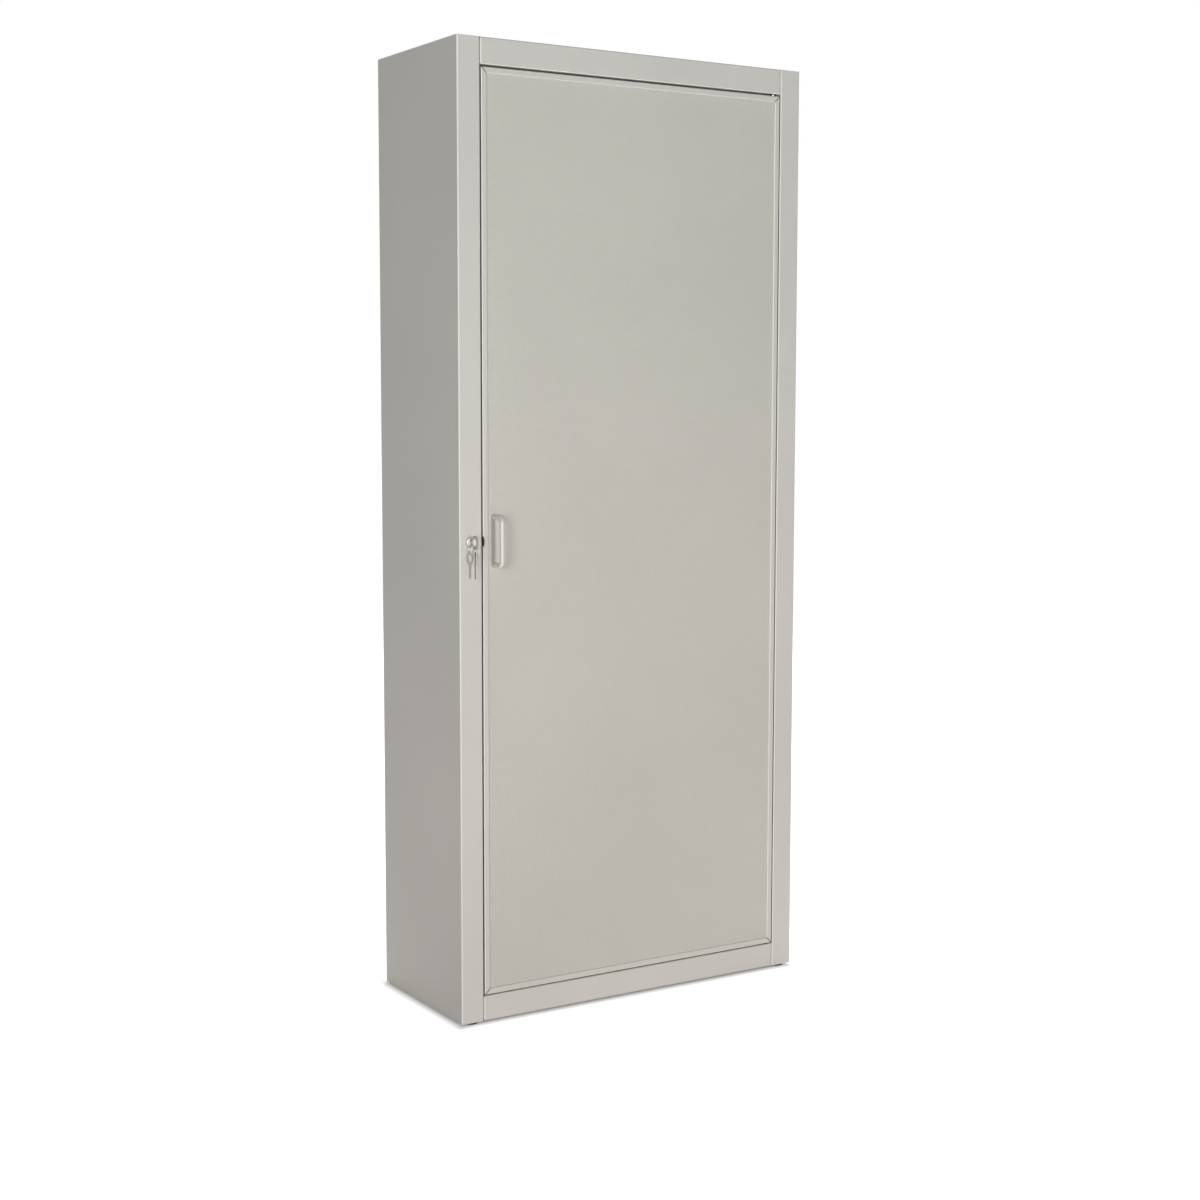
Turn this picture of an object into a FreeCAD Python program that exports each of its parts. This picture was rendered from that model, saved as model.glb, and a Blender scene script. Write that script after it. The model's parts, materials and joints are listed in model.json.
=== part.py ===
import FreeCAD, Part
import math
import os

# Tall single-door steel cupboard for brooms, in millimetres.
# X runs to the right, the front faces -Y and Z is up.
# The origin is on the floor, under the middle of the whole object's box.

Vector = FreeCAD.Vector
RIGHT = Vector(1, 0, 0)
BACK = Vector(0, 1, 0)
UP = Vector(0, 0, 1)

# Carcass
overall_width = 825.0
carcass_depth = 350.0
overall_height = 1950.0
foot_height = 4.0
sheet = 1.0
sheet_bend = 2.0
stile_width = 50.0
stile_return = 28.0
stop_lip = 12.0
rear_flange = 15.0
top_rail_height = 52.0
bottom_rail_height = 51.0
bottom_rail_return = 22.0
rail_lip = 10.0
side_flange = 18.0
seam_gap = 0.5
rail_end_gap = 1.0

# Door
gap_lock_side = 2.5
gap_hinge_side = 2.0
gap_top = 4.0
gap_bottom = 2.0
door_depth = 20.0
door_sheet = 1.2
door_bend = 1.2
rim_width = 12.5
rim_lip = 3.0
door_back_flange = 16.0
mitre_gap = 2.6
panel_sheet = 1.0
panel_edge_gap = 1.5
bracket_arm = 60.0
bracket_width = 12.0
bracket_sheet = 2.0
stiffener_crown = 30.0
stiffener_wing = 15.0
stiffener_height = 13.0

# Door pivots
pivot_from_edge = 13.0
pivot_behind_front = 8.0
pin_radius = 2.5
pin_play = 0.05
pin_in_bush = 11.0
pin_in_block = 18.0
bush_wall = 2.5
bush_flange_width = 1.5
bush_flange = 1.2
bush_length = 12.0
block_half_width = 9.0
block_height = 24.0

# Handle
handle_spacing = 96.0
handle_bar_radius = 5.0
handle_bend = 11.0
handle_reach = 34.0
handle_from_side = 80.0
handle_screw_radius = 2.0
handle_screw_bite = 12.0
screw_tip_gap = 0.5
screw_head_height = 2.4
screw_head_share = 1.9
backing_width = 22.0
backing_margin = 16.0
backing_sheet = 2.0
screw_hole_play = 0.3

# Lock, drawn unlocked with its bolt back
lock_height = 975.0
lock_from_side = 25.0
plug_radius = 5.0
barrel_radius = 9.0
barrel_flange_radius = 11.0
barrel_flange = 3.5
barrel_flange_edge = 2.0
barrel_length = 8.0
collar_sheet = 1.4
collar_gap = 0.3
collar_edge = 0.6
drive_radius = 8.0
drive_pin_radius = 1.8
drive_play = 0.5
drive_turn_degrees = 90.0
bolt_thickness = 5.0
bolt_play = 0.3
bolt_half_height = 11.7
bolt_end_wall = 3.0
bolt_setback = 0.5
bolt_relief_depth = 4.0
case_wall = 1.5
case_depth = 18.0
case_half_height = 26.0
nut_across_flats = 24.0
nut_thickness = 3.5
lock_rivet_radius = 2.0
rivet_head_height = 1.0
rivet_head_share = 1.8

# Keys and ring
key_sheet = 2.0
key_bow_radius = 13.5
key_hole_radius = 8.5
key_blade_length = 27.0
key_blade_width = 7.0
key_shoulder_gap = 0.8
key_play = 0.15
key_tip_chamfer = 2.0
key_cut_depth = 1.6
key_cut_pitch = 3.6
key_cut_count = 4
ring_radius = 8.5
ring_wire_radius = 0.8
ring_hang_gap = 0.5
spare_hang_gap = 0.3
hang_turn_degrees = -28.0

# Shelf and hooks
shelf_height = 1600.0
shelf_flange = 25.0
shelf_front_inset = 34.0
shelf_side_gap = 1.5
shelf_bracket_width = 40.0
shelf_bracket_height = 30.0
shelf_bracket_reach = 18.0
shelf_bracket_sheet = 1.5
shelf_bracket_inset = 45.0
hook_rail_height = 1440.0
hook_rail_length = 640.0
hook_rail_width = 30.0
hook_rail_sheet = 3.0
hook_rail_corner = 9.0
hook_count = 4
hook_spacing = 160.0
hook_reach = 42.0
hook_rise = 26.0
hook_radius = 3.0
hook_bend = 9.0
hook_ball_radius = 5.0
rail_screw_radius = 2.5
rail_screw_margin = 20.0

# Feet
foot_radius = 14.5
foot_inset_side = 27.5
foot_inset_end = 15.5
foot_edge = 0.6
foot_stem_radius = 4.0
foot_stem_length = 10.0
foot_plate_sheet = 2.0
foot_plate_width = 44.0
foot_plate_depth = 24.0

# Back panel fixings
rivet_radius = 2.0
rivet_rows = 7
rivet_end_margin = 60.0
wall_hole_radius = 4.0
wall_hole_spacing = 600.0
wall_hole_below_top = 120.0

# Door buffers on the stop lip
buffer_radius = 4.5
buffer_gap = 0.3
buffer_stem_radius = 2.0
buffer_count = 3
buffer_end_margin = 150.0

fit_gap = 0.05
cut_overrun = 2.0

# Places worked out from the sizes above
half_width = overall_width / 2
front_y = (handle_reach - carcass_depth) / 2
back_y = front_y + carcass_depth
base_z = foot_height
top_z = overall_height
floor_z = base_z + bottom_rail_height
rail_z = top_z - top_rail_height
half_opening = half_width - stile_width
inner_half_width = half_width - sheet
lip_face_y = front_y + stile_return - sheet
back_panel_rear_y = back_y - sheet
back_panel_front_y = back_panel_rear_y - sheet
roof_under_z = top_z - sheet
floor_under_z = floor_z - sheet

door_left = -half_opening + gap_lock_side
door_right = half_opening - gap_hinge_side
door_bottom = floor_z + gap_bottom
door_top = rail_z - gap_top
door_width = door_right - door_left
door_height = door_top - door_bottom
door_middle = Vector((door_left + door_right) / 2, front_y, (door_bottom + door_top) / 2)
door_back_y = front_y + door_depth
panel_front_y = front_y + rim_lip
panel_back_y = panel_front_y + panel_sheet
pivot_x = door_right - pivot_from_edge
pivot_y = front_y + pivot_behind_front
bush_radius = pin_radius + pin_play + bush_wall

handle_x = -half_width + handle_from_side
lock_x = -half_width + lock_from_side
plug_front_y = front_y - barrel_flange
collar_y = front_y + barrel_length + collar_gap
bolt_y = collar_y + collar_sheet + bolt_play
case_front_y = front_y + sheet
case_back_y = case_front_y + case_depth
case_right = -half_opening - sheet
case_left = -inner_half_width + seam_gap
bolt_throw = 2 * drive_radius * math.sin(math.radians(drive_turn_degrees / 2))
bow_y = plug_front_y - key_shoulder_gap - key_bow_radius
ring_top_z = lock_height - key_hole_radius + ring_hang_gap + ring_wire_radius
ring_middle_z = ring_top_z - ring_radius
ring_bottom_z = ring_middle_z - ring_radius
spare_bow_z = ring_bottom_z + ring_wire_radius + spare_hang_gap - key_hole_radius


# Small builders

def block(x_low, x_high, y_low, y_high, z_low, z_high):
    """A box between two corners."""
    corner = Vector(x_low, y_low, z_low)
    return Part.makeBox(x_high - x_low, y_high - y_low, z_high - z_low, corner)


def bar(radius, start, direction, length):
    """A round bar from a start point."""
    return Part.makeCylinder(radius, length, start, direction)


def joined(shapes):
    """One clean solid from pieces that touch or cross."""
    return shapes[0].multiFuse(shapes[1:]).removeSplitter()


def mirrored(shape):
    """The same piece on the other side of the cupboard."""
    return shape.mirror(Vector(0, 0, 0), RIGHT)


def strip_side(points, half, bend):
    """Edges along the left side of a folded strip, with an arc at each bend."""
    edges = []
    runs = [(after - before).normalize() for before, after in zip(points, points[1:])]
    normals = [Vector(-run.y, run.x, 0) for run in runs]
    start = points[0] + normals[0] * half
    for corner, run_in, run_out, left_in, left_out in zip(points[1:], runs, runs[1:], normals, normals[1:]):
        turn = math.copysign(1, run_in.x * run_out.y - run_in.y * run_out.x)
        middle_radius = bend + half
        tangent = middle_radius * math.tan(run_in.getAngle(run_out) / 2)
        arc_in = corner - run_in * tangent
        arc_out = corner + run_out * tangent
        centre = arc_in + left_in * (middle_radius * turn)
        bisector = (arc_in - centre + arc_out - centre).normalize()
        side_in = arc_in + left_in * half
        side_out = arc_out + left_out * half
        side_middle = centre + bisector * (middle_radius - turn * half)
        edges.append(Part.LineSegment(start, side_in).toShape())
        edges.append(Part.Arc(side_in, side_middle, side_out).toShape())
        start = side_out
    end = points[-1] + normals[-1] * half
    edges.append(Part.LineSegment(start, end).toShape())
    return edges, points[0] + normals[0] * half, end


def folded(outline, thickness, bend, length):
    """A folded sheet: its middle line in the XY plane, drawn out along Z."""
    points = [Vector(u, v, 0) for u, v in outline]
    one_side, first, last = strip_side(points, thickness / 2, bend)
    other_side, far_first, far_last = strip_side(points[::-1], thickness / 2, bend)
    caps = [Part.LineSegment(last, far_first).toShape(), Part.LineSegment(far_last, first).toShape()]
    wire = Part.Wire(one_side + caps[:1] + other_side + caps[1:])
    return Part.Face(wire).extrude(UP * length)


def across(shape, x_low):
    """Lays a drawn-out shape along X: its own X and Y become Y and Z."""
    shape.Placement = FreeCAD.Placement(RIGHT * x_low, FreeCAD.Rotation(Vector(1, 1, 1), 120))
    return shape


def bent_rod(points, radius, bend):
    """A round rod through the points, with an arc at each corner."""
    edges = []
    start = points[0]
    for before, corner, after in zip(points, points[1:], points[2:]):
        run_in = (corner - before).normalize()
        run_out = (after - corner).normalize()
        tangent = bend * math.tan(run_in.getAngle(run_out) / 2)
        arc_in = corner - run_in * tangent
        arc_out = corner + run_out * tangent
        inward = (run_out - run_in).normalize()
        to_centre = bend / math.cos(run_in.getAngle(run_out) / 2)
        edges.append(Part.LineSegment(start, arc_in).toShape())
        edges.append(Part.Arc(arc_in, corner + inward * (to_centre - bend), arc_out).toShape())
        start = arc_out
    edges.append(Part.LineSegment(start, points[-1]).toShape())
    section = Part.Wire(Part.makeCircle(radius, points[0], points[1] - points[0]))
    return Part.Wire(edges).makePipeShell([section], True, False)


def headed_pin(radius, start, direction, length, head_share, head_height):
    """A rivet or screw: its shank runs from start, and its head stands behind start."""
    shank = bar(radius, start, direction, length)
    head = bar(radius * head_share, start - direction * head_height, direction, head_height)
    return joined([shank, head])


def spread(count, low, high):
    """Evenly spaced places from low to high."""
    return [low + (high - low) * step / (count - 1) for step in range(count)]


# Carcass

def side_profile():
    """Left side sheet in plan: rear flange, wall, stile, return and stop lip."""
    half = sheet / 2
    wall_x = -half_width + half
    return_x = -half_opening - half
    lip_y = front_y + stile_return - half
    return [
        (-half_width + rear_flange, back_y - half),
        (wall_x, back_y - half),
        (wall_x, front_y + half),
        (return_x, front_y + half),
        (return_x, lip_y),
        (return_x + stop_lip, lip_y),
    ]


def plain_side():
    """The left side sheet with room for the roof inside its top edge."""
    wall = folded(side_profile(), sheet, sheet_bend, top_z - base_z)
    wall.translate(UP * base_z)
    roof_room = block(-inner_half_width, 0, front_y + sheet, back_y + cut_overrun,
                      roof_under_z - seam_gap, top_z + cut_overrun)
    rail_room = block(-half_opening - sheet - sheet_bend, 0, front_y + sheet, front_y + stile_return,
                      rail_z - seam_gap, top_z)
    floor_room = block(-half_opening, 0, front_y, back_y, base_z - cut_overrun, floor_z + seam_gap)
    return wall.cut(roof_room).cut(rail_room.common(lip_zone())).cut(floor_room)


def lip_zone():
    """The space over the opening, where the rails take the place of the stop lip."""
    return block(-half_opening, 0, front_y, back_y, base_z, top_z)


def left_side_panel():
    wall = plain_side()
    barrel_hole = bar(barrel_radius + fit_gap, Vector(lock_x, front_y - cut_overrun, lock_height),
                      BACK, cut_overrun + sheet + cut_overrun)
    stem_holes = [bar(buffer_stem_radius + fit_gap, Vector(buffer_x(), lip_face_y, z), BACK, sheet)
                  for z in buffer_heights()]
    return drilled(wall.cut(barrel_hole).cut(bolt_slot()), side_rivet_places(-1),
                   lock_rivet_holes() + stem_holes)


def right_side_panel():
    return drilled(mirrored(plain_side()), side_rivet_places(1), [])


def drilled(shape, rivet_places, more_holes):
    """Cuts the back panel's rivet holes and any others."""
    holes = [bar(rivet_radius + fit_gap, place, BACK, 2 * sheet) for place in rivet_places]
    return shape.cut(Part.makeCompound(holes + more_holes))


def side_rivet_places(side):
    """Rivets down one side of the back panel."""
    x = side * (half_width - (rear_flange + sheet) / 2)
    heights = spread(rivet_rows, floor_z + rivet_end_margin, top_z - rivet_end_margin)
    return [Vector(x, back_panel_front_y, z) for z in heights]


def flange_rivet_places(z):
    """Rivets along the roof's or the floor's rear flange."""
    reach = half_width - rear_flange - rivet_end_margin
    return [Vector(x, back_panel_front_y, z) for x in spread(rivet_rows, -reach, reach)]


def roof_rivet_places():
    return flange_rivet_places(top_z - (rear_flange + sheet) / 2)


def floor_rivet_places():
    return [place - BACK * sheet for place in flange_rivet_places(floor_z - (rear_flange + sheet) / 2)]


def plate_with_sides(z_low, y_low, y_high):
    """A flat plate between the side walls, with a flange turned down along each wall."""
    reach = inner_half_width - seam_gap
    plate = block(-reach, reach, y_low, y_high, z_low, z_low + sheet)
    flange_front = front_y + stile_return + seam_gap
    flange = block(-reach, -reach + sheet, flange_front, back_panel_front_y - seam_gap,
                   z_low + sheet - side_flange, z_low + sheet)
    return [plate, flange, mirrored(flange)]


def rear_edge(z_face, y_face):
    """A plate's rear edge, turned down with its outer faces at the given places."""
    half = sheet / 2
    reach = half_width - rear_flange - seam_gap
    outline = [
        (back_panel_front_y - side_flange, z_face - half),
        (y_face - half, z_face - half),
        (y_face - half, z_face - rear_flange),
    ]
    return across(folded(outline, sheet, sheet_bend, 2 * reach), -reach)


def rail_end(z_low, z_high):
    """The rail's left end, turned back against the stile."""
    half = sheet / 2
    end_x = -half_opening + rail_end_gap
    outline = [
        (end_x + half, front_y + rail_lip),
        (end_x + half, front_y + half),
        (end_x + rail_lip, front_y + half),
    ]
    bent = folded(outline, sheet, sheet_bend, z_high - z_low)
    bent.translate(UP * z_low)
    return bent


def front_rail(outline, z_low, z_high):
    """A rail between the stiles, with its two ends turned back over the given height."""
    reach = half_opening - rail_end_gap
    rail = across(folded(outline, sheet, sheet_bend, 2 * reach), -reach)
    end_room = block(-reach, -reach + sheet + sheet_bend, front_y, front_y + sheet, z_low, z_high)
    end = rail_end(z_low, z_high)
    return joined([rail.cut(end_room).cut(mirrored(end_room)), end, mirrored(end)])


def top_panel():
    """Roof with its front rail, the rail's return over the door and its lip."""
    half = sheet / 2
    rail = front_rail([
        (front_y + stile_return, top_z - half),
        (front_y + half, top_z - half),
        (front_y + half, rail_z + half),
        (front_y + stile_return - half, rail_z + half),
        (front_y + stile_return - half, rail_z + rail_lip),
    ], rail_z + sheet + sheet_bend, top_z - sheet - sheet_bend)
    plate, *flanges = plate_with_sides(roof_under_z, front_y + sheet + seam_gap, back_y - sheet - sheet_bend)
    reach = half_opening - rail_end_gap
    rail_zone = block(-reach, reach, front_y, front_y + stile_return, roof_under_z, top_z)
    roof = joined([plate.cut(rail_zone), rail, rear_edge(top_z, back_y)] + flanges)
    bush_hole = bar(bush_radius + fit_gap, Vector(pivot_x, pivot_y, rail_z - cut_overrun), UP,
                    cut_overrun + sheet + cut_overrun)
    return drilled(roof, roof_rivet_places(), [bush_hole])


def bottom_panel():
    """Floor with its front rail and the rail's return along the ground."""
    half = sheet / 2
    rail = front_rail([
        (front_y + stile_return + sheet, floor_z - half),
        (front_y + half, floor_z - half),
        (front_y + half, base_z + half),
        (front_y + bottom_rail_return - half, base_z + half),
        (front_y + bottom_rail_return - half, base_z + rail_lip),
    ], base_z + sheet + sheet_bend, floor_z - sheet - sheet_bend)
    parts = plate_with_sides(floor_under_z, front_y + stile_return + seam_gap,
                             back_panel_front_y - sheet - sheet_bend)
    floor = joined(parts + [rail, rear_edge(floor_z, back_panel_front_y)])
    bush_hole = bar(bush_radius + fit_gap, Vector(pivot_x, pivot_y, floor_under_z - cut_overrun), UP,
                    cut_overrun + sheet + cut_overrun)
    return drilled(floor, floor_rivet_places(), [bush_hole])


def rivet_places():
    return side_rivet_places(-1) + side_rivet_places(1) + roof_rivet_places() + floor_rivet_places()


def back_panel():
    reach = inner_half_width - sheet_bend
    z_low = base_z + foot_plate_sheet + seam_gap
    panel = block(-reach, reach, back_panel_front_y, back_panel_rear_y, z_low, roof_under_z - sheet_bend)
    hole_z = top_z - wall_hole_below_top
    wall_holes = [bar(wall_hole_radius, Vector(x, back_panel_front_y, hole_z), BACK, sheet)
                  for x in (-wall_hole_spacing / 2, wall_hole_spacing / 2)]
    screw_holes = [bar(rail_screw_radius + fit_gap, place, BACK, hook_rail_sheet + sheet)
                   for place in rail_screw_places()]
    return drilled(panel, rivet_places(), wall_holes + screw_holes)


def back_panel_rivets():
    rivets = [headed_pin(rivet_radius, place, BACK, 2 * sheet, rivet_head_share, rivet_head_height)
              for place in rivet_places()]
    return Part.makeCompound(rivets)


# Feet

def foot_places():
    """Foot centres on the floor, going round the four corners."""
    x = half_width - foot_inset_side
    y_front = front_y + foot_inset_end
    y_rear = back_y - foot_inset_end
    return [Vector(-x, y_front, 0), Vector(x, y_front, 0), Vector(x, y_rear, 0), Vector(-x, y_rear, 0)]


def foot(place):
    """Push-in glide: a disc on the floor and a stem through the foot plate."""
    disc = bar(foot_radius, place, UP, foot_height)
    disc = disc.makeChamfer(foot_edge, [edge for edge in disc.Edges if edge.BoundBox.ZMax < foot_edge])
    return joined([disc, bar(foot_stem_radius, place, UP, foot_height + foot_stem_length)])


def foot_plate(place):
    """Plate welded inside a bottom corner, against the side wall and the stile or rear flange."""
    x_side = math.copysign(1, place.x)
    y_side = math.copysign(1, place.y - (front_y + back_y) / 2)
    x_wall = x_side * inner_half_width
    y_wall = (back_y if y_side > 0 else front_y) - y_side * sheet
    x_ends = sorted([x_wall, x_wall - x_side * foot_plate_width])
    y_ends = sorted([y_wall, y_wall - y_side * foot_plate_depth])
    z_high = foot_height + foot_plate_sheet
    plate = block(*x_ends, *y_ends, foot_height, z_high)
    stem_hole = bar(foot_stem_radius + fit_gap, place, UP, foot_height + foot_stem_length)
    bend_room = bar(sheet_bend + seam_gap, Vector(x_wall, y_wall, foot_height), UP, foot_plate_sheet)
    return plate.cut(stem_hole).cut(bend_room)


# Shelf and hooks

def hat_shelf():
    """Shelf tray with its edges turned down."""
    reach = inner_half_width - shelf_side_gap - shelf_bracket_sheet
    y_low = front_y + shelf_front_inset
    y_high = back_panel_front_y - shelf_side_gap
    z_low = shelf_height - shelf_flange
    tray = block(-reach, reach, y_low, y_high, z_low, shelf_height)
    edges = [edge for edge in tray.Edges if edge.BoundBox.ZMin > z_low + sheet]
    tray = tray.makeFillet(sheet + sheet_bend, edges)
    hollow = block(-reach + sheet, reach - sheet, y_low + sheet, y_high - sheet, z_low, shelf_height - sheet)
    edges = [edge for edge in hollow.Edges if edge.BoundBox.ZMin > z_low + sheet]
    return tray.cut(hollow.makeFillet(sheet_bend, edges))


def shelf_bracket(side, y_middle):
    """Angle riveted to the side wall, with a tab under the shelf's edge."""
    half = shelf_bracket_sheet / 2
    tab_z = shelf_height - shelf_flange - half
    outline = [
        (inner_half_width - shelf_bracket_reach, tab_z),
        (inner_half_width - half, tab_z),
        (inner_half_width - half, tab_z - shelf_bracket_height),
    ]
    angle = folded(outline, shelf_bracket_sheet, sheet_bend, shelf_bracket_width)
    angle.rotate(Vector(0, 0, 0), RIGHT, 90)
    angle.translate(BACK * (y_middle + shelf_bracket_width / 2))
    return angle if side > 0 else mirrored(angle)


def shelf_bracket_places():
    y_front = front_y + shelf_front_inset + shelf_bracket_inset
    y_rear = back_panel_front_y - shelf_bracket_inset
    return [(-1, y_front), (1, y_front), (1, y_rear), (-1, y_rear)]


def hook_xs():
    reach = hook_spacing * (hook_count - 1) / 2
    return spread(hook_count, -reach, reach)


def rail_screw_places():
    """Hook rail screws, from the rail's front face."""
    reach = hook_rail_length / 2 - rail_screw_margin
    y = back_panel_front_y - hook_rail_sheet
    return [Vector(x, y, hook_rail_height) for x in (-reach, 0, reach)]


def hook_rail():
    y_front = back_panel_front_y - hook_rail_sheet
    rail = block(-hook_rail_length / 2, hook_rail_length / 2, y_front, back_panel_front_y,
                 hook_rail_height - hook_rail_width / 2, hook_rail_height + hook_rail_width / 2)
    edges = [edge for edge in rail.Edges if edge.BoundBox.YLength > sheet and edge.Length < rail_screw_margin]
    rail = rail.makeFillet(hook_rail_corner, edges)
    holes = [bar(rail_screw_radius + fit_gap, place, BACK, hook_rail_sheet) for place in rail_screw_places()]
    return rail.cut(Part.makeCompound(holes))


def hook_rail_screws():
    screws = [headed_pin(rail_screw_radius, place, BACK, hook_rail_sheet + sheet, rivet_head_share,
                         screw_head_height) for place in rail_screw_places()]
    return Part.makeCompound(screws)


def broom_hook(x):
    """Bent rod welded to the rail, with a ball on its raised end."""
    start = Vector(x, back_panel_front_y - hook_rail_sheet, hook_rail_height)
    corner = start - BACK * hook_reach
    tip = corner + UP * hook_rise
    rod = bent_rod([start, corner, tip], hook_radius, hook_bend)
    return joined([rod, Part.makeSphere(hook_ball_radius, tip)])


# Door

def frame_member(length, reach, turn_degrees):
    """One mitred channel of the door frame, its rim turned in, set at one side of the door."""
    half = door_sheet / 2
    channel = across(folded([
        (door_depth - half, -reach + door_back_flange),
        (door_depth - half, -reach + half),
        (half, -reach + half),
        (half, -reach + rim_width - half),
        (rim_lip, -reach + rim_width - half),
    ], door_sheet, door_bend, length), -length / 2)
    outer = length / 2 - mitre_gap / 2
    inner = outer - door_back_flange
    corners = [(-outer, -reach), (outer, -reach), (inner, -reach + door_back_flange),
               (-inner, -reach + door_back_flange)]
    points = [Vector(x, 0, z) for x, z in corners]
    mitre = Part.Face(Part.makePolygon(points + points[:1])).extrude(BACK * door_depth)
    member = channel.common(mitre)
    member.rotate(Vector(0, 0, 0), BACK, turn_degrees)
    member.translate(door_middle)
    return member


def door_frame_bottom():
    return frame_member(door_width, door_height / 2, 0).cut(pivot_hole(door_bottom))


def door_frame_top():
    return frame_member(door_width, door_height / 2, 180).cut(pivot_hole(door_top))


def door_frame_left():
    return frame_member(door_height, door_width / 2, 90).cut(bolt_slot()).cut(bolt_relief())


def door_frame_right():
    return frame_member(door_height, door_width / 2, -90)


def pivot_hole(z):
    """Hole for a pivot pin through the frame's edge."""
    return bar(pin_radius + fit_gap, Vector(pivot_x, pivot_y, z - door_sheet - cut_overrun), UP,
               2 * (door_sheet + cut_overrun))


def door_panel():
    """Sheet behind the frame's rim, cut off behind the mitres and in front of the bolt."""
    edge = door_sheet + panel_edge_gap
    panel = block(door_left + edge, door_right - edge, panel_front_y, panel_back_y,
                  door_bottom + edge, door_top - edge)
    corners = [line for line in panel.Edges if line.BoundBox.YLength > panel_sheet / 2]
    panel = panel.makeChamfer(2 * (rim_width - edge) - mitre_gap, corners)
    return panel.cut(Part.makeCompound(handle_holes(panel_front_y, panel_sheet) + [bolt_relief()]))


def corner_brackets():
    """Flat angles that join the frame's members at the corners, inside their back flanges."""
    edge = door_sheet + panel_edge_gap
    y_high = door_back_y - door_sheet
    y_low = y_high - bracket_sheet
    brackets = []
    for x_edge, x_in in ((door_left, 1), (door_right, -1)):
        for z_edge, z_in in ((door_bottom, 1), (door_top, -1)):
            steps = (edge, edge + bracket_width, bracket_arm)
            x_ends = [x_edge + x_in * step for step in steps]
            z_ends = [z_edge + z_in * step for step in steps]
            upright = block(*sorted([x_ends[0], x_ends[1]]), y_low, y_high, *sorted([z_ends[0], z_ends[2]]))
            level = block(*sorted([x_ends[0], x_ends[2]]), y_low, y_high, *sorted([z_ends[0], z_ends[1]]))
            brackets.append(joined([upright, level]))
    return brackets


def door_stiffener():
    """Top-hat strip up the back of the door panel."""
    half = sheet / 2
    wing_y = panel_back_y + half
    crown_y = panel_back_y + stiffener_height - half
    side_x = stiffener_crown / 2
    outline = [
        (-side_x - stiffener_wing, wing_y),
        (-side_x, wing_y),
        (-side_x, crown_y),
        (side_x, crown_y),
        (side_x, wing_y),
        (side_x + stiffener_wing, wing_y),
    ]
    edge = door_sheet + panel_edge_gap
    strip = folded(outline, sheet, sheet_bend, door_height - 2 * edge)
    strip.translate(Vector(door_middle.x, 0, door_bottom + edge))
    return strip


def handle_ends():
    middle_z = lock_height
    return [Vector(handle_x, panel_front_y, middle_z + side * handle_spacing / 2) for side in (-1, 1)]


def handle_holes(y, depth):
    """Screw clearance holes behind the handle's two ends."""
    radius = handle_screw_radius + screw_hole_play
    return [bar(radius, Vector(end.x, y, end.z), BACK, depth) for end in handle_ends()]


def door_handle():
    """Bent round bar, screwed on from behind."""
    low, high = handle_ends()
    out = -BACK * (handle_reach - handle_bar_radius + rim_lip)
    rod = bent_rod([low, low + out, high + out, high], handle_bar_radius, handle_bend)
    threads = [bar(handle_screw_radius + fit_gap, end, -BACK, handle_screw_bite) for end in handle_ends()]
    return rod.cut(Part.makeCompound(threads))


def handle_backing_plate():
    low, high = handle_ends()
    plate = block(handle_x - backing_width / 2, handle_x + backing_width / 2, panel_back_y,
                  panel_back_y + backing_sheet, low.z - backing_margin, high.z + backing_margin)
    return plate.cut(Part.makeCompound(handle_holes(panel_back_y, backing_sheet)))


def handle_screws():
    grip = panel_sheet + backing_sheet + handle_screw_bite - screw_tip_gap
    screws = [headed_pin(handle_screw_radius, end + BACK * (panel_sheet + backing_sheet), -BACK, grip,
                         screw_head_share, screw_head_height) for end in handle_ends()]
    return Part.makeCompound(screws)


def pivot_block(z_edge, z_in):
    """Steel block in the frame's corner that holds a pivot pin."""
    z_near = z_edge + z_in * (door_sheet + fit_gap)
    z_far = z_near + z_in * block_height
    y_high = door_back_y - door_sheet - bracket_sheet
    body = block(pivot_x - block_half_width, pivot_x + block_half_width, panel_back_y, y_high,
                 *sorted([z_near, z_far]))
    bore_depth = pin_in_block + fit_gap
    return body.cut(bar(pin_radius + fit_gap, Vector(pivot_x, pivot_y, z_near), UP * z_in, bore_depth))


def pivot_pin(z_edge, z_in, gap):
    """Pin from the pivot block, through the frame's edge and the gap, into the bush."""
    start = Vector(pivot_x, pivot_y, z_edge + z_in * (door_sheet + pin_in_block))
    return bar(pin_radius, start, UP * -z_in, door_sheet + pin_in_block + gap + pin_in_bush)


def pivot_bush(z_face, outward):
    """Flanged nylon bush in the rail or the floor."""
    start = Vector(pivot_x, pivot_y, z_face)
    body = bar(bush_radius, start, UP * -outward, bush_length)
    flange = bar(bush_radius + bush_flange_width, start, UP * outward, bush_flange)
    bore = bar(pin_radius + pin_play, start + UP * (outward * bush_flange), UP * -outward,
               bush_flange + bush_length)
    return joined([body, flange]).cut(bore)


def buffer_heights():
    return spread(buffer_count, door_bottom + buffer_end_margin, door_top - buffer_end_margin)


def buffer_x():
    return -half_opening + (gap_lock_side + stop_lip) / 2


def door_buffer(z):
    """Rubber button behind the door's edge, with a stem through the stop lip."""
    start = Vector(buffer_x(), lip_face_y, z)
    button = bar(buffer_radius, start, -BACK, lip_face_y - door_back_y - buffer_gap)
    return joined([button, bar(buffer_stem_radius, start, BACK, sheet + buffer_stem_radius)])


# Lock

def bolt_slot():
    """Slot for the bolt through the stile's return and the door's edge."""
    x_low = case_right - case_wall - cut_overrun
    x_high = door_left + door_sheet + cut_overrun
    half_height = bolt_half_height + bolt_play
    return block(x_low, x_high, bolt_y - bolt_play, bolt_y + bolt_thickness + bolt_play,
                 lock_height - half_height, lock_height + half_height)


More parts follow.
